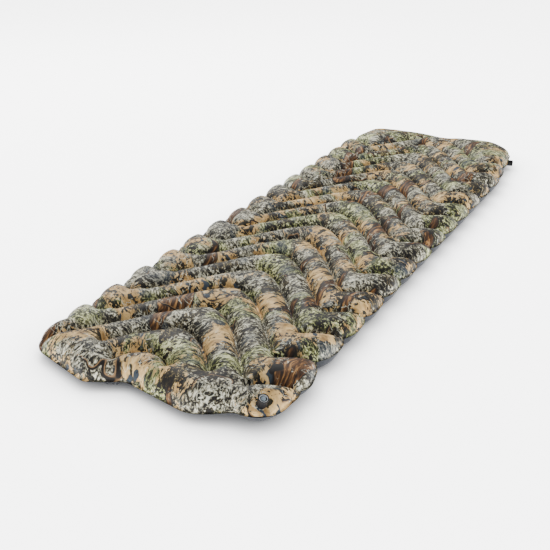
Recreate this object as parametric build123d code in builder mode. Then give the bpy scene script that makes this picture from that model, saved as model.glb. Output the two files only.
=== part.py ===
from build123d import *

import math
import os

# Inflatable sleeping pad, inflated and lying flat. Millimetres.
# Origin: on the ground under the middle of the pad. +Y runs to the far (head) end, +X to the
# right edge, +Z up.

# ---- driving dimensions of the pad -----------------------------------------------------------
LENGTH = 1829.0          # 72 in
WIDTH = 584.0            # 23 in
THICKNESS = 64.0         # 2.5 in, over the crests of the chambers
SIDE = WIDTH / 2
END = LENGTH / 2
SKIN = 1.0               # coated fabric, as one wall
WELD = 6.0               # flat weld rim around the edge
EDGE_ROUND = 24.0        # how the skin curls in towards the rim
MID = THICKNESS / 2      # height of the weld rim and of every seam

# ---- chamber seams ---------------------------------------------------------------------------
PITCH = 104.5            # from one seam to the next, along the pad
V_FIRST = -603.5         # tip of the first whole V
V_COUNT = 15
V_HALF = 182.0           # half the width of a V
V_RISE = 200.0           # from a V's outer ends to its tip
V_ROUND = 60.0           # how softly the tip turns
V_BENDS = (28.0, 75.0)   # where a V turns, out from its tip
SHORT_V_HALF = 118.0     # one more V at the near end is cut short
RAIL_COUNT = 15
RAIL_FIRST = {1: -781.5, -1: -780.5}    # first rail seam of the right and of the left edge
RAIL_PITCH = {1: PITCH, -1: 108.5}
RAIL_INNER = 204.0       # inner end of a rail seam
RAIL_SLOPE = 0.5
RAIL_OVERRUN = 40.0      # how far a rail seam's cut runs past the edge
SEAM_TOP = 20.0          # half width of a seam's valley at the crest height
SEAM_FOOT = 2.0          # half width at the weld

# ---- twist valve -----------------------------------------------------------------------------
FLANGE_R = 9.8
FLANGE_T = 1.2
COLLAR_R = 7.8
COLLAR_TOP = 3.6
BARREL_R = 6.4
BARREL_BORE = 5.0
BARREL_FOOT = -8.0       # inside the air chamber
BARREL_TOP = 15.0
RETAINER_R = 8.5         # shoulder under the skin
SLEEVE_R = 8.0
SLEEVE_BORE = 6.85
SLEEVE_FOOT = 4.4
SLEEVE_TOP = 20.0
MOUTH_R = 4.25
MOUTH_STEP = 2.0         # from the top of the sleeve down to the lip around the mouth
MOUTH_LIP = 1.4          # thickness of that lip
MOUTH_RING_BORE = 6.2
MOUTH_RING_R = 7.6
MOUTH_RING_RISE = 0.4    # how far the ring stands above the sleeve
CAP_R = 9.3
CAP_BORE = 8.06
CAP_FOOT = 1.6
CAP_TOP = 21.4
CAP_GROOVES = 12
BEAD_R = 8.45            # snap bead that keeps the cap on the sleeve
BEAD_AT = 8.0
BEAD_HALF = 0.7          # half its width
PLUG_R = 4.2
PLUG_TOP = 20.8
SEAL_WIRE = 0.5          # half the thickness of an O-ring
PLUG_SEAL_R = PLUG_R - SEAL_WIRE
PLUG_SEAL_AT = 17.3      # in the lip of the mouth when the valve is closed
SEAL_AT = 12.0           # height of the seal on the barrel
RUNNING = 0.05           # radial clearance of the sliding fits
HOLE_GAP = 0.2           # between a collar and its hole in the skin
BARREL_SEAL_R = SLEEVE_BORE - RUNNING - SEAL_WIRE
SEAL_GROOVE_R = BARREL_SEAL_R - SEAL_WIRE - RUNNING
SEAT_POCKET = 18.0       # the skin is flat this far around a valve
POCKET_DEPTH = 60.0

NEAR_SEAT = (256.0, -870.0, 46.0)
NEAR_AXIS = (0.365, -0.285, 0.886)
FAR_SEAT = (246.0, 779.0, 24.0)
FAR_AXIS = (0.900, 0.420, -0.120)

# Corners of the outline and the radius that each is rounded to.
OUTLINE = [
    ((-266.0, -874.0), 75.0),
    ((-112.0, -917.3), 70.0),
    ((-38.0, -886.0), 20.0),
    ((20.0, -905.0), 60.0),
    ((140.0, -916.0), 60.0),
    ((222.0, -893.0), 20.0),
    ((287.0, -894.0), 60.0),
    ((292.1, -760.0), 200.0),
    ((288.0, -600.0), 400.0),
    ((289.0, 560.0), 400.0),
    ((246.0, 840.0), 70.0),
    ((170.0, END), 70.0),
    ((-210.0, END), 60.0),
    ((-266.0, 860.0), 60.0),
    ((-292.6, 680.0), 200.0),
    ((-281.0, 400.0), 400.0),
    ((-272.0, -300.0), 400.0),
    ((-268.0, -560.0), 400.0),
]

os.makedirs("parts", exist_ok=True)


def save(piece, name):
    """Name a finished piece and write it out."""
    piece.part.label = name
    export_step(piece.part, f"parts/{name}.step")


def seat_plane(point, direction):
    """Plane on the outer skin under a valve, with its Z along the valve."""
    return Plane(origin=point, z_dir=direction)


def profile_plane(seat):
    """Plane through a valve's axis: X is the radius, Y the height over the seat."""
    return Plane(origin=seat.origin, x_dir=seat.x_dir, z_dir=-seat.y_dir)


def valve_axis(seat):
    return Axis(seat.origin, seat.z_dir)


near_seat = seat_plane(NEAR_SEAT, NEAR_AXIS)
far_seat = seat_plane(FAR_SEAT, FAR_AXIS)


def v_line(index, half_width=V_HALF):
    """Centre line of one V seam, as points from the left outer end to the right one."""
    tip = V_FIRST + index * PITCH
    gain = V_RISE / (math.hypot(V_HALF, V_ROUND) - V_ROUND)
    right = [*V_BENDS, half_width]
    across = [-x for x in reversed(right)] + right
    return [(x, tip - gain * (math.hypot(x, V_ROUND) - V_ROUND)) for x in across]


def rail_line(index, side):
    """Centre line of one rail seam, from its inner end out past the edge."""
    edge_y = RAIL_FIRST[side] + index * RAIL_PITCH[side]
    inner = (side * RAIL_INNER, edge_y - RAIL_SLOPE * (SIDE - RAIL_INNER))
    outer = (side * (SIDE + RAIL_OVERRUN), edge_y + RAIL_SLOPE * RAIL_OVERRUN)
    return [inner, outer]


def strip(points, half):
    """Closed outline of a band of the given half width along a centre line."""
    left, right = [], []
    for i, here in enumerate(points):
        before = points[max(i - 1, 0)]
        after = points[min(i + 1, len(points) - 1)]
        run_in = Vector(here[0] - before[0], here[1] - before[1])
        run_out = Vector(after[0] - here[0], after[1] - here[1])
        if run_in.length == 0:
            run_in = run_out
        if run_out.length == 0:
            run_out = run_in
        turn = (run_in.normalized() + run_out.normalized()).normalized()
        normal = Vector(-turn.Y, turn.X)
        reach = half / max(turn.dot(run_in.normalized()), 0.5)
        left.append((here[0] + normal.X * reach, here[1] + normal.Y * reach))
        right.append((here[0] - normal.X * reach, here[1] - normal.Y * reach))
    return left + right[::-1]


def seam_groups():
    """The V seams, then the rail seams of the left and of the right edge."""
    groups = [[v_line(-1, SHORT_V_HALF)] + [v_line(i) for i in range(V_COUNT)]]
    for side in (-1, 1):
        groups.append([rail_line(i, side) for i in range(RAIL_COUNT)])
    return groups


def mirrored(points, flip):
    """Points for a plane whose Y may run the other way."""
    return [(x, -y if flip else y) for x, y in points]


def half_pad(up, inset):
    """Half of the pad from the mid plane outwards or, with an inset, the air inside it."""
    facing = (0, 0, 1) if up else (0, 0, -1)
    flat = Plane(origin=(0, 0, MID), x_dir=(1, 0, 0), z_dir=facing)
    height = MID - inset
    depth = height if inset else MID - SKIN
    taper = math.degrees(math.atan((SEAM_TOP - SEAM_FOOT) / (MID - SKIN)))
    with BuildPart() as half:
        with BuildSketch(flat):
            with BuildLine():
                corners = mirrored([point for point, _ in OUTLINE], not up)
                FilletPolyline(*corners, radius=[r for _, r in OUTLINE], close=True)
            make_face()
            if inset:
                offset(amount=-WELD, mode=Mode.REPLACE)
        extrude(amount=height)
        crest = half.faces().sort_by(Axis((0, 0, 0), facing))[-1]
        fillet(crest.edges(), radius=EDGE_ROUND - inset)
        for group in seam_groups():
            with BuildSketch(flat.offset(height)):
                for line in group:
                    with BuildLine():
                        Polyline(*strip(mirrored(line, not up), SEAM_TOP + inset), close=True)
                    make_face()
            extrude(amount=-depth, taper=taper, mode=Mode.SUBTRACT)
        for seat in (near_seat, far_seat):
            with BuildSketch(seat.offset(-inset)):
                Circle(SEAT_POCKET + inset)
            extrude(amount=POCKET_DEPTH, mode=Mode.SUBTRACT)
    return half


def skin(name, up):
    """One fabric skin: half the pad with its air taken out and a hole for each valve's collar."""
    outer = half_pad(up, 0.0)
    air = half_pad(up, SKIN)
    with BuildPart() as fabric:
        add(outer.part)
        add(air.part, mode=Mode.SUBTRACT)
        for seat in (near_seat, far_seat):
            with BuildSketch(seat.offset(-2 * SKIN)):
                Circle(COLLAR_R + HOLE_GAP)
            extrude(amount=4 * SKIN, mode=Mode.SUBTRACT)
    save(fabric, name)


def turned(seat, name, outline):
    """A piece of revolution about a valve's axis, from its (radius, height) outline."""
    with BuildPart() as piece:
        with BuildSketch(profile_plane(seat)):
            with BuildLine():
                Polyline(*outline, close=True)
            make_face()
        revolve(axis=valve_axis(seat))
    save(piece, name)


def weld_flange(seat, name):
    """Soft disc welded under the skin, with a collar that comes through it and grips the barrel."""
    inner = BARREL_R + RUNNING
    turned(seat, name, [
        (inner, -SKIN - FLANGE_T), (FLANGE_R, -SKIN - FLANGE_T), (FLANGE_R, -SKIN),
        (COLLAR_R, -SKIN), (COLLAR_R, COLLAR_TOP), (inner, COLLAR_TOP),
    ])


def barrel(seat, name):
    """Rigid tube through the skin, with a shoulder inside the pad and a seal groove."""
    turned(seat, name, [
        (BARREL_BORE, BARREL_FOOT), (RETAINER_R, BARREL_FOOT), (RETAINER_R, BARREL_FOOT + 2.0),
        (BARREL_R, BARREL_FOOT + 3.0), (BARREL_R, SEAL_AT - SEAL_WIRE),
        (SEAL_GROOVE_R, SEAL_AT - SEAL_WIRE), (SEAL_GROOVE_R, SEAL_AT + SEAL_WIRE),
        (BARREL_R, SEAL_AT + SEAL_WIRE), (BARREL_R, BARREL_TOP - 0.5),
        (BARREL_R - 0.5, BARREL_TOP), (BARREL_BORE, BARREL_TOP),
    ])


def o_ring(seat, name, radius, height):
    with BuildPart() as ring:
        with BuildSketch(profile_plane(seat)):
            with Locations((radius, height)):
                Circle(SEAL_WIRE - RUNNING / 2)
        revolve(axis=valve_axis(seat))
    save(ring, name)


def centre_plug(seat, name):
    """Fixed post on three spokes, whose head closes the mouth of the sleeve."""
    neck = PLUG_R - 2 * SEAL_WIRE
    low, high = PLUG_SEAL_AT - SEAL_WIRE, PLUG_SEAL_AT + SEAL_WIRE
    with BuildPart() as plug:
        with BuildSketch(profile_plane(seat)):
            with BuildLine():
                Polyline(
                    (0.0, -3.0), (1.7, -3.0), (1.7, low - 3.4), (PLUG_R, low - 0.8), (PLUG_R, low),
                    (neck, low), (neck, high), (PLUG_R, high), (PLUG_R, PLUG_TOP - 0.5),
                    (PLUG_R - 0.5, PLUG_TOP), (0.0, PLUG_TOP), close=True,
                )
            make_face()
        revolve(axis=valve_axis(seat))
        with BuildSketch(seat.offset(-3.0)):
            for turn in (0, 120, 240):
                with Locations(Location((0, 0, 0), (0, 0, turn))):
                    with Locations((BARREL_BORE / 2, 0)):
                        Rectangle(BARREL_BORE, 1.4)
            Circle(BARREL_BORE - RUNNING, mode=Mode.INTERSECT)
        extrude(amount=3.0)
    save(plug, name)


def nozzle_sleeve(seat, name):
    """Sleeve that slides up the barrel; its mouth closes on the plug when it is down."""
    step = SLEEVE_TOP - MOUTH_STEP
    rim = MOUTH_RING_R + RUNNING
    turned(seat, name, [
        (SLEEVE_BORE, SLEEVE_FOOT), (SLEEVE_R, SLEEVE_FOOT), (SLEEVE_R, BEAD_AT - BEAD_HALF),
        (BEAD_R, BEAD_AT), (SLEEVE_R, BEAD_AT + BEAD_HALF), (SLEEVE_R, SLEEVE_TOP),
        (rim, SLEEVE_TOP), (rim, step), (MOUTH_R, step), (MOUTH_R, step - MOUTH_LIP),
        (SLEEVE_BORE, step - MOUTH_LIP),
    ])


def mouth_ring(seat, name):
    """Pale ring set into the top of the sleeve, around the sunken mouth."""
    base = SLEEVE_TOP - MOUTH_STEP
    top = SLEEVE_TOP + MOUTH_RING_RISE
    bevel = MOUTH_RING_RISE / 2
    turned(seat, name, [
        (MOUTH_RING_BORE, base), (MOUTH_RING_R, base), (MOUTH_RING_R, top - bevel),
        (MOUTH_RING_R - bevel, top), (MOUTH_RING_BORE + bevel, top), (MOUTH_RING_BORE, top - bevel),
    ])


def twist_cap(seat, name):
    """Grip ring with finger grooves, snapped over the bead of the sleeve."""
    gap = CAP_BORE + 0.45
    with BuildPart() as cap:
        with BuildSketch(profile_plane(seat)):
            with BuildLine():
                Polyline(
                    (CAP_BORE, CAP_FOOT), (CAP_R - 0.4, CAP_FOOT), (CAP_R, CAP_FOOT + 0.6),
                    (CAP_R, CAP_TOP - 0.5), (CAP_R - 0.4, CAP_TOP), (CAP_BORE + 0.3, CAP_TOP),
                    (CAP_BORE, CAP_TOP - 0.3), (CAP_BORE, BEAD_AT + 1.0), (gap, BEAD_AT + 0.4),
                    (gap, BEAD_AT - 0.4), (CAP_BORE, BEAD_AT - 1.0), close=True,
                )
            make_face()
        revolve(axis=valve_axis(seat))
        with BuildSketch(seat.offset(CAP_FOOT)):
            with PolarLocations(CAP_R + 0.3, CAP_GROOVES):
                Circle(0.8)
        extrude(amount=CAP_TOP - CAP_FOOT - 2.6, mode=Mode.SUBTRACT)
    save(cap, name)


def twist_valve(seat, end):
    """All the pieces of one valve; closed, with its mouth on the plug."""
    weld_flange(seat, f"{end}_valve_weld_flange")
    barrel(seat, f"{end}_valve_barrel")
    centre_plug(seat, f"{end}_valve_centre_plug")
    o_ring(seat, f"{end}_valve_plug_seal", PLUG_SEAL_R, PLUG_SEAL_AT)
    o_ring(seat, f"{end}_valve_barrel_seal", BARREL_SEAL_R, SEAL_AT)
    nozzle_sleeve(seat, f"{end}_valve_nozzle_sleeve")
    mouth_ring(seat, f"{end}_valve_mouth_ring")
    twist_cap(seat, f"{end}_valve_twist_cap")


twist_valve(near_seat, "near")
twist_valve(far_seat, "far")
skin("top_fabric", True)
skin("bottom_fabric", False)
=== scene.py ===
import math
from types import SimpleNamespace

import bpy
import numpy as np
from mathutils import Matrix, Vector
from mathutils.kdtree import KDTree


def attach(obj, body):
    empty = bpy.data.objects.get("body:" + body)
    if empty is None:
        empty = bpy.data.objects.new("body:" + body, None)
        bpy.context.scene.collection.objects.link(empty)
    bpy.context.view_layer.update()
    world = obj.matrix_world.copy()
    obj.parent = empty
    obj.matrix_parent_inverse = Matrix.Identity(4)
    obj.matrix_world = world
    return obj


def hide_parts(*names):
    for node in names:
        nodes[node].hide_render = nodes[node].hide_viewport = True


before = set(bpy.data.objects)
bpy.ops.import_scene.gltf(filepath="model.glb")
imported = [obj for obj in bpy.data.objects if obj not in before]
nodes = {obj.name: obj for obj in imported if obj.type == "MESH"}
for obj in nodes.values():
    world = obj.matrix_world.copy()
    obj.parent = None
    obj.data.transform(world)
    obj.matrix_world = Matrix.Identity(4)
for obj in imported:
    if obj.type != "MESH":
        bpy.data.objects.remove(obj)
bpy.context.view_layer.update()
scene = bpy.context.scene

# ---- the pad's layout, in metres, as the CAD has it ------------------------------------------
MID = 0.032                 # height of the rim weld and of every seam
PITCH = 0.1045              # from one chamber to the next, along the pad
V_FIRST = -0.6035           # tip of the first whole V seam
V_COUNT = 15
V_HALF = 0.182
V_RISE = 0.200
V_ROUND = 0.060
SHORT_VS = ((-2, -0.065, 0.045), (-1, -0.118, 0.118))   # index, left end and right end
CORNER_SEAM = ((-0.182, -0.8035), (-0.262, -0.882))     # carries the first V on to the corner
RAIL_COUNT = 15
RAIL_FIRST = {1: -0.7815, -1: -0.7805}      # of the right and of the left edge
RAIL_PITCH = {1: PITCH, -1: 0.1085}
RAIL_INNER = 0.204          # inner end of a rail seam
RAIL_SLOPE = 0.5
RAIL_OVERRUN = 0.012        # how far a rail seam runs past the edge
SIDE = 0.292
SCALLOP = 0.013             # how far the rim draws in at the end of a rail seam
OUTLINE = (                 # corners of the rim and how round each one is
    ((-0.264, -0.862), 0.070),
    ((-0.085, -0.922), 0.030),
    ((-0.015, -0.886), 0.030),
    ((0.135, -0.920), 0.060),
    ((0.215, -0.892), 0.020),
    ((0.288, -0.903), 0.055),
    ((0.289, -0.825), 0.100),
    ((0.300, -0.772), 0.040),
    ((0.277, -0.686), 0.030),
    ((0.286, -0.630), 0.100),
    ((0.286, 0.560), 0.400),
    ((0.246, 0.840), 0.070),
    ((0.170, 0.9145), 0.070),
    ((-0.210, 0.9145), 0.060),
    ((-0.266, 0.860), 0.060),
    ((-0.2926, 0.680), 0.200),
    ((-0.281, 0.400), 0.400),
    ((-0.272, -0.300), 0.400),
    ((-0.268, -0.560), 0.400),
)
SEAM_WELD = 0.0020          # half the width of a seam weld
RIM_WELD = 0.0030           # width of the flat rim
HALF_SKIN = 0.0003          # the two skins lie this far off the middle of a weld

# ---- how the skins are blown up --------------------------------------------------------------
GRID = 0.0034               # spacing of the skins' mesh
GRID_HALF_WIDTH = 0.3
GRID_HALF_LENGTH = 0.925
RELAX_STEPS = 2600          # of the membrane solver
WIDTH_RANGE = (0.006, 0.060)    # of a chamber, from its weld to its crest
FULL_HEIGHT = 0.0345        # what a wide chamber rises to over the seams
TIGHTNESS = 6.0             # how sharply a chamber stops rising at that height
PUCKER = 0.0011             # height of the puckers along the seams
DENT = 0.0010               # depth of the broad dents over the chambers
END_CHAMBER = 0.62          # height of the last chamber at the far end, as a share
END_CHAMBER_AT = (0.84, 0.90)
RIM_DROP = (0.011, 0.005)   # how far the rim hangs below the seams, at the near end and elsewhere
NEAR_RIM_AT = (-0.85, -0.65)
RIGHT_RIM_AT = (0.15, 0.24)     # the drop fades out here, towards the right edge
RIM_DROP_REACH = 0.045
UNDERCUT = 0.7              # how far the lower skin tucks in along the near end, 0 to 1
UNDERCUT_AT = (-0.80, -0.70)
FLOOR_GAP = 0.0004          # the lower skin keeps this far off the floor

# Each valve's seat on the skin, and the way that the valve points.
NEAR_SEAT = (Vector((0.256, -0.870, 0.046)), Vector((0.365, -0.285, 0.886)).normalized())
FAR_SEAT = (Vector((0.246, 0.779, 0.024)), Vector((0.900, 0.420, -0.120)).normalized())
SEAT_FLAT = 0.011           # the skin is flat this far around a valve
SEAT_BLEND = 0.032          # and from here on it has its own shape
SEAT_DEPTH = 0.035          # only skin this near to the seat's plane is drawn flat
COLLAR_HOLE = 0.0079

FLOOR_GLOW = 5.0
SHADOW_REACH = 0.12         # how far the painted soft shadow, dimmed into the floor's glow, runs out from the pad over the floor

# ---- camera, at the photograph's viewing angle -----------------------------------------------
CAMERA_AT = (0.8497, -1.9284, 0.8309)
CAMERA_PITCH = 24.27
CAMERA_YAW = 28.20
CAMERA_ROLL = -0.14
LENS = 55.96


# ---- small numeric helpers -------------------------------------------------------------------
def smooth_step(x, low, high):
    t = np.clip((x - low) / (high - low), 0, 1)
    return t * t * (3 - 2 * t)


def lattice_noise(x, y, size, seed):
    """Smooth random field from -1 to 1, whose bumps are about size across."""
    table = np.random.default_rng(seed).uniform(-1, 1, (512, 512))
    u, v = x / size + 200.37, y / size + 200.71
    i, j = np.floor(u).astype(int), np.floor(v).astype(int)
    fu, fv = u - i, v - j
    fu, fv = fu * fu * (3 - 2 * fu), fv * fv * (3 - 2 * fv)
    i, j = i % 511, j % 511
    low = table[i, j] * (1 - fu) + table[i + 1, j] * fu
    high = table[i, j + 1] * (1 - fu) + table[i + 1, j + 1] * fu
    return low * (1 - fv) + high * fv


def blurred(field, passes=1):
    """A field smoothed over its neighbours."""
    for _ in range(passes):
        for axis in (0, 1):
            field = 0.25 * np.roll(field, 1, axis) + 0.5 * field + 0.25 * np.roll(field, -1, axis)
    return field


# ---- lines of the pad ------------------------------------------------------------------------
def rounded_outline(corners, step=0.001):
    """Closed outline through rounded corners, as an array of points."""
    ends = []
    count = len(corners)
    for i, (corner, radius) in enumerate(corners):
        here = Vector(corner)
        before = (Vector(corners[i - 1][0]) - here).normalized()
        after = (Vector(corners[(i + 1) % count][0]) - here).normalized()
        half = before.angle(after) / 2
        reach = radius / math.tan(half)
        start, end = here + before * reach, here + after * reach
        centre = here + (before + after).normalized() * (radius / math.sin(half))
        first = math.atan2(start.y - centre.y, start.x - centre.x)
        last = math.atan2(end.y - centre.y, end.x - centre.x)
        turn = (last - first + math.pi) % (2 * math.pi) - math.pi
        angles = first + turn * np.linspace(0, 1, max(3, int(abs(turn) * radius / step)))
        ends.append(np.stack([centre.x + radius * np.cos(angles), centre.y + radius * np.sin(angles)], 1))
    return dense(np.concatenate(ends + [ends[0][:1]]), step)


def dense(points, step=0.0005):
    """A line of points, filled in so that neighbours are at most a step apart."""
    out = []
    for a, b in zip(points[:-1], points[1:]):
        count = max(1, int(math.ceil(np.linalg.norm(b - a) / step)))
        t = np.arange(count)[:, None] / count
        out.append(a + (b - a) * t)
    out.append(points[-1:])
    return np.concatenate(out)


def scalloped(outline):
    """The outline drawn in at the end of each rail seam, so that the rails end as round lobes."""
    drawn = outline.copy()
    for side in (-1, 1):
        first, pitch = RAIL_FIRST[side], RAIL_PITCH[side]
        last = first + (RAIL_COUNT - 1) * pitch
        from_seam = np.abs((outline[:, 1] - first) / pitch - np.round((outline[:, 1] - first) / pitch)) * 2
        along_side = (outline[:, 1] > first - 0.4 * pitch) & (outline[:, 1] < last + 0.4 * pitch)
        at_side = (outline[:, 0] * side > RAIL_INNER) & along_side
        drawn[:, 0] -= side * SCALLOP * (1 - from_seam) ** 3 * at_side
    return drawn


def v_y(x, tip):
    """How far along the pad a V seam lies, x across from its tip."""
    gain = V_RISE / (math.hypot(V_HALF, V_ROUND) - V_ROUND)
    return tip - gain * (np.hypot(x, V_ROUND) - V_ROUND)


def seam_lines():
    """Every seam inside the outline, as arrays of points."""
    spans = list(SHORT_VS) + [(index, -V_HALF, V_HALF) for index in range(V_COUNT)]
    lines = []
    for index, left, right in spans:
        x = np.linspace(left, right, 60)
        lines.append(dense(np.stack([x, v_y(x, V_FIRST + index * PITCH)], 1)))
    lines.append(dense(np.array(CORNER_SEAM)))
    for side in (-1, 1):
        for index in range(RAIL_COUNT):
            if side < 0 and index == 0:
                continue
            edge_y = RAIL_FIRST[side] + index * RAIL_PITCH[side]
            inner = (side * RAIL_INNER, edge_y - RAIL_SLOPE * (SIDE - RAIL_INNER))
            outer = (side * (SIDE + RAIL_OVERRUN), edge_y + RAIL_SLOPE * RAIL_OVERRUN)
            lines.append(dense(np.array([inner, outer])))
    return lines


def inside_outline(x, y, outline):
    """True for grid points inside the closed outline, by counting crossings along each row."""
    a, b = outline[:-1], outline[1:]
    inside = np.zeros(x.shape, bool)
    for row in range(x.shape[1]):
        level = y[0, row]
        cross = (a[:, 1] > level) != (b[:, 1] > level)
        at = a[cross, 0] + (level - a[cross, 1]) * (b[cross, 0] - a[cross, 0]) / (b[cross, 1] - a[cross, 1])
        inside[:, row] = (x[:, row][:, None] > at[None, :]).sum(1) % 2 == 1
    return inside


def nearest_on(lines, points):
    """For each point: its nearest point on the lines, the distance, and how far along them it is."""
    joined = np.concatenate(lines)
    tree = KDTree(len(joined))
    for i, (x, y) in enumerate(joined):
        tree.insert((x, y, 0), i)
    tree.balance()
    found = [tree.find((x, y, 0)) for x, y in points]
    index = np.array([f[1] for f in found])
    return joined[index], np.array([f[2] for f in found]), index


# ---- the inflated shape ----------------------------------------------------------------------
def inflate():
    """The pad's chambers as a membrane blown up between its welds.

    Each skin is a grid over the plan. The height of a chamber is what an inflated strip of its
    width takes, a half circle, and the membrane solver carries that round corners and seam ends.
    """
    outline = scalloped(rounded_outline(OUTLINE))
    seams = seam_lines()
    across = np.arange(-GRID_HALF_WIDTH, GRID_HALF_WIDTH + GRID, GRID)
    along = np.arange(-GRID_HALF_LENGTH, GRID_HALF_LENGTH + GRID, GRID)
    x, y = np.meshgrid(across, along, indexing="ij")
    flat = np.stack([x.ravel(), y.ravel()], 1)
    rim_point, rim_far, rim_index = nearest_on([outline], flat)
    seam_point, seam_far, seam_index = nearest_on(seams, flat)
    inside = inside_outline(x, y, outline)
    rim_far = rim_far.reshape(x.shape) * np.where(inside, 1, -1)
    seam_far = seam_far.reshape(x.shape)
    far = np.minimum(rim_far - RIM_WELD, seam_far - SEAM_WELD)
    hold = np.where(far <= 0.2 * GRID, 1e9, 0.0)
    pull = np.zeros_like(x)
    for _ in range(RELAX_STEPS):
        near = np.roll(pull, 1, 0) + np.roll(pull, -1, 0) + np.roll(pull, 1, 1) + np.roll(pull, -1, 1)
        pull = (near + GRID * GRID) / (4 + hold)
    at_rim = (rim_far - RIM_WELD) < (seam_far - SEAM_WELD)
    anchor = np.where(at_rim.ravel()[:, None], rim_point, seam_point)
    return SimpleNamespace(
        x=x,
        y=y,
        flat=flat,
        inside=inside,
        far=far,
        pull=pull,
        at_rim=at_rim,
        anchor=anchor.reshape(*x.shape, 2),
        rim_far=rim_far,
        rim_point=rim_point.reshape(*x.shape, 2),
        along_rim=rim_index.reshape(x.shape) * 0.001 + 50,
        along_seam=seam_index.reshape(x.shape) * 0.0005,
    )


def wrinkles(m):
    """Puckers that run away from the seams, and broad dents that lie over the chambers."""
    along = np.where(m.at_rim, m.along_rim, m.along_seam)
    pucker = lattice_noise(along, along * 0, 0.011, 3) + 0.6 * lattice_noise(along, along * 0, 0.006, 4)
    window = smooth_step(m.far, 0, 0.006) * (1 - smooth_step(m.far, 0.008, 0.026))
    strength = 0.5 + 0.5 * lattice_noise(m.x, m.y, 0.07, 5)
    dents = lattice_noise(m.x, m.y, 0.055, 6) + 0.5 * lattice_noise(m.x, m.y, 0.026, 7)
    return PUCKER * pucker * window * strength, DENT * dents * smooth_step(m.far, 0.002, 0.02)


def rim_level(m):
    """Height of the middle between the skins, which sinks from the seams to the rim."""
    drop = RIM_DROP[0] + (RIM_DROP[1] - RIM_DROP[0]) * smooth_step(m.y, *NEAR_RIM_AT)
    drop *= 1 - smooth_step(m.x, *RIGHT_RIM_AT)
    return MID - drop * (1 - smooth_step(m.rim_far, 0, RIM_DROP_REACH))


def shape_skin(m, up):
    """Where each grid point of a skin lies. up is 1 for the upper skin and -1 for the lower one."""
    plan = np.stack([m.x, m.y], -1)
    reach = np.maximum(m.far, 1e-5)
    width = np.clip(blurred(m.pull / reach + reach / 2, 2), *WIDTH_RANGE)
    share = np.clip(reach / width, 0, 1)
    # A round tube is narrower than its flat fabric, so each point slides towards its weld.
    slide = width * (1 - np.cos(share * math.pi / 2)) - share * width
    slope = np.stack(np.gradient(m.pull, GRID), -1)
    soft = slope / (np.linalg.norm(slope, axis=-1, keepdims=True) + 1e-4)
    away = plan - m.anchor
    sharp = away / (np.linalg.norm(away, axis=-1, keepdims=True) + 1e-9)
    blend = smooth_step(m.far, 0.8 * GRID, 2.5 * GRID)[..., None]
    toward = soft * blend + sharp * (1 - blend)
    moved = plan + toward * slide[..., None]
    crown = width / (1 + (width / FULL_HEIGHT) ** TIGHTNESS) ** (1 / TIGHTNESS)
    height = crown * np.sin(share * math.pi / 2)
    height = np.where(m.far > 0, height, 0)
    puckers, dents = wrinkles(m)
    height += puckers
    height += dents
    outside = m.rim_far < 0.35 * GRID
    moved[outside] = m.rim_point[outside]
    height[outside] = 0
    height *= 1 - (1 - END_CHAMBER) * smooth_step(m.y, *END_CHAMBER_AT)
    if up < 0:
        # Along the near end the lower skin turns in under the rim before it curves down.
        tucked = crown * (1 - np.cos(share * math.pi / 2)) * (m.far > 0)
        near_end = m.at_rim * (1 - smooth_step(m.y, *UNDERCUT_AT))
        height = height + UNDERCUT * near_end * (tucked - height)
    z = rim_level(m) + up * (height + HALF_SKIN)
    if up < 0:
        z = np.maximum(z, FLOOR_GAP)
    return np.dstack([moved, z])


def settle_on_seat(points, seat):
    """Draws the skin flat around a valve, and its points inside the collar out to the collar."""
    origin, axis = np.array(seat[0]), np.array(seat[1])
    away = points - origin
    rise = (away @ axis)[..., None]
    across = away - rise * axis
    radial = np.linalg.norm(across, axis=-1, keepdims=True)
    level = np.abs(rise) < SEAT_DEPTH
    weight = (1 - smooth_step(radial, SEAT_FLAT, SEAT_BLEND)) * level
    hole = (radial < COLLAR_HOLE) & level
    spread = np.where(hole, across * (COLLAR_HOLE / np.maximum(radial, 1e-6)), across)
    settled = origin + spread + rise * (1 - weight) * axis
    return settled, hole[..., 0]


def skin_object(name, m, up, seat):
    """One skin as a mesh: faces over every grid cell that the outline crosses or holds."""
    points, hole = settle_on_seat(shape_skin(m, up), seat)
    inside = m.inside
    cell = inside[:-1, :-1] | inside[1:, :-1] | inside[:-1, 1:] | inside[1:, 1:]
    cell &= ~(hole[:-1, :-1] & hole[1:, :-1] & hole[:-1, 1:] & hole[1:, 1:])
    index = np.arange(m.x.size).reshape(m.x.shape)
    quads = np.stack([index[:-1, :-1], index[1:, :-1], index[1:, 1:], index[:-1, 1:]], -1)[cell]
    if up < 0:
        quads = quads[:, ::-1]
    used, inverse = np.unique(quads, return_inverse=True)
    quads = inverse.reshape(quads.shape)
    mesh = bpy.data.meshes.new(name)
    mesh.from_pydata(points.reshape(-1, 3)[used].tolist(), [], quads.tolist())
    mesh.polygons.foreach_set("use_smooth", [True] * len(mesh.polygons))
    layer = mesh.uv_layers.new(name="print")
    loops = np.empty(len(mesh.loops), int)
    mesh.loops.foreach_get("vertex_index", loops)
    layer.data.foreach_set("uv", m.flat[used][loops].ravel())
    mesh.update()
    piece = bpy.data.objects.new(name, mesh)
    scene.collection.objects.link(piece)
    return piece


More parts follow.
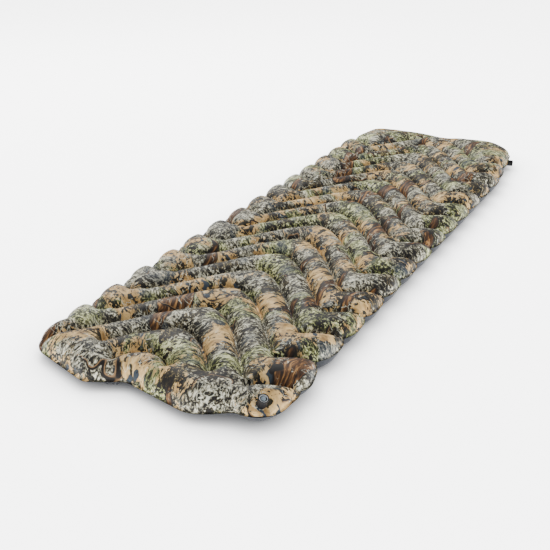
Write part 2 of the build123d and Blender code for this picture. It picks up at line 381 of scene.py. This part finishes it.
# ---- materials -------------------------------------------------------------------------------
class Nodes:
    """A material's node tree, with short calls to add nodes and links."""

    def __init__(self, name):
        self.material = bpy.data.materials.new(name)
        self.material.use_nodes = True
        self.tree = self.material.node_tree
        self.tree.nodes.clear()
        self.shader = self.add("ShaderNodeBsdfPrincipled")
        output = self.add("ShaderNodeOutputMaterial")
        self.tree.links.new(self.shader.outputs[0], output.inputs[0])

    def add(self, kind, inputs=None, **settings):
        node = self.tree.nodes.new(kind)
        for key, value in settings.items():
            setattr(node, key, value)
        for key, value in (inputs or {}).items():
            self.put(node.inputs[key], value)
        return node

    def put(self, socket, value):
        if isinstance(value, bpy.types.NodeSocket):
            self.tree.links.new(value, socket)
        else:
            socket.default_value = value

    def math(self, operation, a, b=0.0, clamp=False):
        node = self.add("ShaderNodeMath", operation=operation, use_clamp=clamp)
        self.put(node.inputs[0], a)
        self.put(node.inputs[1], b)
        return node.outputs[0]

    def vector(self, operation, a, b):
        node = self.add("ShaderNodeVectorMath", operation=operation)
        self.put(node.inputs[0], a)
        if operation == "SCALE":
            self.put(node.inputs["Scale"], b)
        else:
            self.put(node.inputs[1], b)
        return node.outputs[0]

    def noise(self, at, scale, detail=2.0, roughness=0.5, distortion=0.0, colour=False):
        inputs = {"Vector": at, "Scale": scale, "Detail": detail}
        inputs.update({"Roughness": roughness, "Distortion": distortion})
        node = self.add("ShaderNodeTexNoise", inputs)
        return node.outputs["Color" if colour else "Fac"]

    def cells(self, at, scale, feature="F1", output="Distance"):
        node = self.add("ShaderNodeTexVoronoi", {"Vector": at, "Scale": scale}, feature=feature)
        return node.outputs[output]

    def step(self, value, low, high):
        """0 below low, 1 above high, smooth in between."""
        node = self.add("ShaderNodeMapRange", interpolation_type="SMOOTHSTEP")
        self.put(node.inputs["Value"], value)
        self.put(node.inputs["From Min"], low)
        self.put(node.inputs["From Max"], high)
        return node.outputs["Result"]

    def mix(self, share, a, b):
        node = self.add("ShaderNodeMix", data_type="RGBA")
        self.put(node.inputs["Factor"], share)
        self.put(node.inputs[6], a)
        self.put(node.inputs[7], b)
        return node.outputs[2]

    def ramp(self, value, stops):
        node = self.add("ShaderNodeValToRGB", {"Fac": value})
        elements = node.color_ramp.elements
        while len(elements) < len(stops):
            elements.new(0.5)
        for element, (place, colour) in zip(elements, stops):
            element.position = place
            element.color = (*colour, 1.0)
        return node.outputs["Color"]

    def warp(self, at, scale, amount):
        """Coordinates pushed about by noise."""
        push = self.vector("SUBTRACT", self.noise(at, scale, 2.0, colour=True), (0.5, 0.5, 0.5))
        return self.vector("ADD", at, self.vector("SCALE", push, amount))

    def shift(self, at, offset):
        return self.vector("ADD", at, offset)


GREY_LITTER = (
    (0.32, (0.006, 0.005, 0.004)),
    (0.42, (0.042, 0.038, 0.025)),
    (0.50, (0.170, 0.155, 0.105)),
    (0.58, (0.370, 0.355, 0.260)),
    (0.70, (0.820, 0.790, 0.620)),
)
SAGE_LITTER = (
    (0.32, (0.009, 0.010, 0.003)),
    (0.42, (0.060, 0.064, 0.020)),
    (0.50, (0.200, 0.215, 0.080)),
    (0.58, (0.415, 0.440, 0.195)),
    (0.70, (0.800, 0.800, 0.450)),
)
SHADE_LITTER = (
    (0.36, (0.004, 0.003, 0.002)),
    (0.50, (0.032, 0.024, 0.010)),
    (0.60, (0.130, 0.100, 0.042)),
    (0.72, (0.400, 0.330, 0.160)),
)
SAND = (
    (0.34, (0.300, 0.175, 0.060)),
    (0.50, (0.620, 0.400, 0.155)),
    (0.66, (0.820, 0.580, 0.270)),
)
BARK = (
    (0.36, (0.008, 0.004, 0.002)),
    (0.47, (0.050, 0.021, 0.007)),
    (0.56, (0.150, 0.068, 0.021)),
    (0.68, (0.520, 0.270, 0.090)),
)
OLIVE = (0.022, 0.019, 0.008, 1)
SLATE_SPOT = (0.030, 0.044, 0.060, 1)
SHADOW = (0.006, 0.004, 0.003, 1)
PALE_CURL = (0.800, 0.800, 0.640, 1)


def litter_field(n, bent, curled):
    """Leaf litter as one value: small curled flakes with dark gaps, in lighter and darker drifts."""
    coarse = n.noise(curled, 95.0, 2.0, 0.6)
    fine = n.noise(curled, 260.0, 2.0, 0.6)
    gap = n.cells(curled, 120.0, feature="DISTANCE_TO_EDGE")
    edge = n.math("SUBTRACT", 1.0, n.step(gap, 0.02, 0.16))
    drift = n.noise(bent, 17.0, 2.0)
    field = n.math("MULTIPLY", n.math("SUBTRACT", coarse, 0.5), 0.85)
    field = n.math("ADD", field, n.math("MULTIPLY", n.math("SUBTRACT", fine, 0.5), 1.25))
    field = n.math("ADD", field, n.math("MULTIPLY", n.math("SUBTRACT", drift, 0.5), 0.50))
    field = n.math("SUBTRACT", field, n.math("MULTIPLY", edge, 0.070))
    return n.math("ADD", field, 0.500)


def bark_strip(n, bent, seed, turn):
    """One set of logs lying one way: their colour, where they lie, and the shadow beside them."""
    lay = n.add("ShaderNodeMapping", {"Vector": bent, "Rotation": (0, 0, turn), "Scale": (1.0, 0.30, 1.0)})
    body = n.noise(n.shift(lay.outputs[0], seed), 13.0, 1.0, 0.4)
    grain = n.add("ShaderNodeMapping", {"Vector": bent, "Rotation": (0, 0, turn), "Scale": (1.0, 0.10, 1.0)})
    streak = n.noise(n.shift(grain.outputs[0], seed), 190.0, 3.0, 0.65)
    wood = n.ramp(streak, BARK)
    return wood, n.step(body, 0.668, 0.676), n.step(body, 0.645, 0.668)


def camo_material():
    """Printed woodland: litter, lichen, sand, bark and twigs, all as noise on the flat fabric."""
    n = Nodes("camo_print")
    at = n.add("ShaderNodeUVMap", uv_map="print").outputs[0]
    bent = n.warp(at, 14.0, 0.030)
    curled = n.warp(bent, 70.0, 0.012)
    field = litter_field(n, bent, curled)

    colour = n.ramp(field, GREY_LITTER)
    is_sage = n.step(n.noise(n.shift(bent, (3.1, 1.7, 0)), 7.5, 2.0), 0.49, 0.55)
    colour = n.mix(is_sage, colour, n.ramp(field, SAGE_LITTER))

    is_blue = n.step(n.noise(n.shift(bent, (8.2, 4.4, 0)), 18.0, 3.0), 0.57, 0.64)
    colour = n.mix(n.math("MULTIPLY", is_blue, 0.60), colour, SLATE_SPOT)

    # Sand patches, with olive and slate leaves lying on them.
    ragged = n.noise(n.shift(bent, (5.5, 9.1, 0)), 10.0, 3.0, 0.55)
    ragged = n.math("ADD", ragged, n.math("MULTIPLY", n.math("SUBTRACT", field, 0.5), 0.22))
    is_tan = n.step(ragged, 0.543, 0.553)
    sand = n.ramp(n.noise(curled, 60.0, 3.0, 0.6), SAND)
    leaves = n.noise(n.shift(curled, (2.0, 6.0, 0)), 55.0, 2.0)
    sand = n.mix(n.step(leaves, 0.57, 0.60), sand, OLIVE)
    sand = n.mix(n.step(n.noise(n.shift(curled, (7.0, 2.0, 0)), 45.0, 1.0), 0.62, 0.65), sand, SLATE_SPOT)
    colour = n.mix(is_tan, colour, sand)

    # Deep shade under the leaves.
    hollow = n.noise(n.shift(bent, (1.3, 7.9, 0)), 12.0, 3.0, 0.6)
    hollow = n.math("ADD", hollow, n.math("MULTIPLY", n.math("SUBTRACT", 0.5, field), 0.30))
    colour = n.mix(n.step(hollow, 0.550, 0.575), colour, n.ramp(field, SHADE_LITTER))

    for seed, turn in (((12.0, 3.0, 0), 0.9), ((31.0, 17.0, 0), -1.1)):
        wood, is_wood, is_shadow = bark_strip(n, bent, seed, turn)
        colour = n.mix(is_shadow, colour, SHADOW)
        colour = n.mix(is_wood, colour, wood)

    # Twigs: thin dark lines with a lit side, along a level of slow noise.
    level = n.noise(n.shift(bent, (4.0, 14.0, 0)), 9.0, 2.0)
    off = n.math("SUBTRACT", level, 0.52)
    where = n.step(n.noise(n.shift(at, (21.0, 4.0, 0)), 12.0, 1.0), 0.54, 0.57)
    lit = n.math("SUBTRACT", 1.0, n.step(n.math("ABSOLUTE", n.math("SUBTRACT", off, 0.010)), 0.003, 0.007))
    colour = n.mix(n.math("MULTIPLY", lit, where), colour, (0.22, 0.13, 0.06, 1))
    twig = n.math("SUBTRACT", 1.0, n.step(n.math("ABSOLUTE", off), 0.005, 0.010))
    colour = n.mix(n.math("MULTIPLY", twig, where), colour, SHADOW)

    # Pale curls of lichen over the litter.
    curl = n.math("ABSOLUTE", n.math("SUBTRACT", n.noise(n.shift(curled, (6.0, 6.0, 0)), 85.0, 1.0), 0.5))
    there = n.step(n.noise(n.shift(at, (9.0, 2.0, 0)), 30.0, 2.0), 0.50, 0.58)
    pale = n.math("MULTIPLY", n.math("SUBTRACT", 1.0, n.step(curl, 0.006, 0.024)), there)
    colour = n.mix(n.math("MULTIPLY", pale, 0.70), colour, PALE_CURL)

    n.put(n.shader.inputs["Base Color"], colour)
    fabric_finish(n, at)
    return n.material


def fabric_finish(n, at):
    """Coated polyester: low gloss, a fine plain weave and soft creases."""
    n.shader.inputs["Roughness"].default_value = 0.62
    n.shader.inputs["Specular IOR Level"].default_value = 0.25
    n.shader.inputs["Sheen Weight"].default_value = 0.04
    n.shader.inputs["Sheen Roughness"].default_value = 0.5
    threads = []
    for turn in (0.0, math.pi / 2):
        laid = n.add("ShaderNodeMapping", {"Vector": at, "Rotation": (0, 0, turn)}).outputs[0]
        threads.append(n.add("ShaderNodeTexWave", {"Vector": laid, "Scale": 420.0}).outputs["Fac"])
    weave = n.math("MULTIPLY", threads[0], threads[1])
    crease = n.noise(at, 85.0, 3.0, 0.55)
    soft = n.add("ShaderNodeBump", {"Height": crease, "Strength": 0.30, "Distance": 0.0030})
    fine = n.add(
        "ShaderNodeBump", {"Height": weave, "Strength": 0.25, "Distance": 0.0003, "Normal": soft.outputs[0]}
    )
    n.put(n.shader.inputs["Normal"], fine.outputs[0])


def slate_material():
    """Plain dark slate fabric of the lower skin."""
    n = Nodes("slate_fabric")
    at = n.add("ShaderNodeUVMap", uv_map="print").outputs[0]
    tone = n.noise(at, 35.0, 4.0, 0.6)
    colour = n.ramp(tone, ((0.3, (0.009, 0.011, 0.015)), (0.7, (0.024, 0.028, 0.036))))
    n.put(n.shader.inputs["Base Color"], colour)
    fabric_finish(n, at)
    return n.material


def moulded_material(name, colour, roughness, mottle=0.25, bump=0.15):
    """Moulded plastic or rubber: fine grain, slight colour drift and shinier spots scattered by noise."""
    n = Nodes(name)
    at = n.add("ShaderNodeTexCoord").outputs["Object"]
    drift = n.noise(at, 240.0, 3.0)
    dark = tuple(c * (1 - mottle) for c in colour)
    light = tuple(min(1.0, c * (1 + mottle)) for c in colour)
    n.put(n.shader.inputs["Base Color"], n.ramp(drift, ((0.3, dark), (0.7, light))))
    n.shader.inputs["Specular IOR Level"].default_value = 0.12
    gloss = n.noise(at, 900.0, 2.0)
    rough = n.math("ADD", n.math("MULTIPLY", gloss, 0.16), roughness - 0.08)
    n.put(n.shader.inputs["Roughness"], rough)
    grain = n.noise(at, 2600.0, 2.0)
    relief = n.add("ShaderNodeBump", {"Height": grain, "Strength": bump, "Distance": 0.0002})
    n.put(n.shader.inputs["Normal"], relief.outputs[0])
    return n.material


def floor_material():
    """White studio floor that glows so that it stays white, with a painted soft shadow: near the pad its
    glow is dimmed by ambient occlusion.
    """
    n = Nodes("glowing_floor_painted_shadow")
    n.shader.inputs["Base Color"].default_value = (0.88, 0.88, 0.88, 1)
    n.shader.inputs["Roughness"].default_value = 0.9
    n.shader.inputs["Emission Color"].default_value = (1.0, 1.0, 1.0, 1)
    # Painted shadow: ambient occlusion dims the floor's glow near the pad, for a soft dark halo around it.
    painted_shadow_openness = n.add("ShaderNodeAmbientOcclusion", {"Distance": SHADOW_REACH}).outputs["AO"]
    glow_with_painted_shadow = n.math("MULTIPLY", n.math("POWER", painted_shadow_openness, 2.0), FLOOR_GLOW)
    n.put(n.shader.inputs["Emission Strength"], glow_with_painted_shadow)
    return n.material


def paint(piece, material):
    piece.data.materials.clear()
    piece.data.materials.append(material)


# ---- the object ------------------------------------------------------------------------------
membrane = inflate()
top = skin_object("top_skin", membrane, 1, NEAR_SEAT)
bottom = skin_object("bottom_skin", membrane, -1, FAR_SEAT)
paint(top, camo_material())
paint(bottom, slate_material())
for piece, node, finish in ((top, "top_fabric", "camo_fabric"), (bottom, "bottom_fabric", "slate_fabric")):
    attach(piece, "pad")
    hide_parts(node)

VALVE_LOOKS = {
    "weld_flange": ("soft_flange", (0.075, 0.085, 0.105), 0.45),
    "barrel": ("black_plastic", (0.006, 0.006, 0.007), 0.42),
    "centre_plug": ("grey_plastic", (0.190, 0.230, 0.260), 0.40),
    "plug_seal": ("seal_rubber", (0.010, 0.010, 0.010), 0.6),
    "barrel_seal": ("seal_rubber", (0.010, 0.010, 0.010), 0.6),
    "nozzle_sleeve": ("black_plastic", (0.006, 0.006, 0.007), 0.42),
    # The mouth ring's pale grey is a painted highlight: it stands in for the light ring of glare on the
    # valve's top.
    "mouth_ring": ("pale_ring", (0.480, 0.500, 0.510), 0.40),
    "twist_cap": ("black_plastic", (0.006, 0.006, 0.007), 0.42),
}
made = {}
for end in ("near", "far"):
    for kind, (name, colour, roughness) in VALVE_LOOKS.items():
        if name not in made:
            made[name] = moulded_material(name, colour, roughness)
        paint(nodes[f"{end}_valve_{kind}"], made[name])

# ---- the studio ------------------------------------------------------------------------------
bpy.ops.mesh.primitive_plane_add(size=30, location=(0, 0, 0))
floor = bpy.context.object
floor.name = "floor"
paint(floor, floor_material())

world = bpy.data.worlds.new("studio")
world.use_nodes = True
world.node_tree.nodes["Background"].inputs[0].default_value = (1.0, 1.0, 1.0, 1)
world.node_tree.nodes["Background"].inputs[1].default_value = 0.62
scene.world = world


def soft_light(name, place, size, watts):
    """Square softbox aimed at the middle of the pad."""
    data = bpy.data.lights.new(name, "AREA")
    data.size = size
    data.energy = watts
    lamp = bpy.data.objects.new(name, data)
    lamp.location = place
    lamp.rotation_euler = (-Vector(place)).to_track_quat("-Z", "Y").to_euler()
    scene.collection.objects.link(lamp)


soft_light("key", (-2.2, 1.6, 3.0), 1.6, 190)
soft_light("fill", (2.5, -2.5, 2.5), 2.5, 25)

lens = bpy.data.cameras.new("camera")
lens.lens = LENS
lens.sensor_width = 36.0
camera = bpy.data.objects.new("camera", lens)
camera.matrix_world = (
    Matrix.Translation(CAMERA_AT)
    @ Matrix.Rotation(math.radians(CAMERA_YAW), 4, "Z")
    @ Matrix.Rotation(math.radians(90 - CAMERA_PITCH), 4, "X")
    @ Matrix.Rotation(math.radians(CAMERA_ROLL), 4, "Z")
)
scene.collection.objects.link(camera)
scene.camera = camera
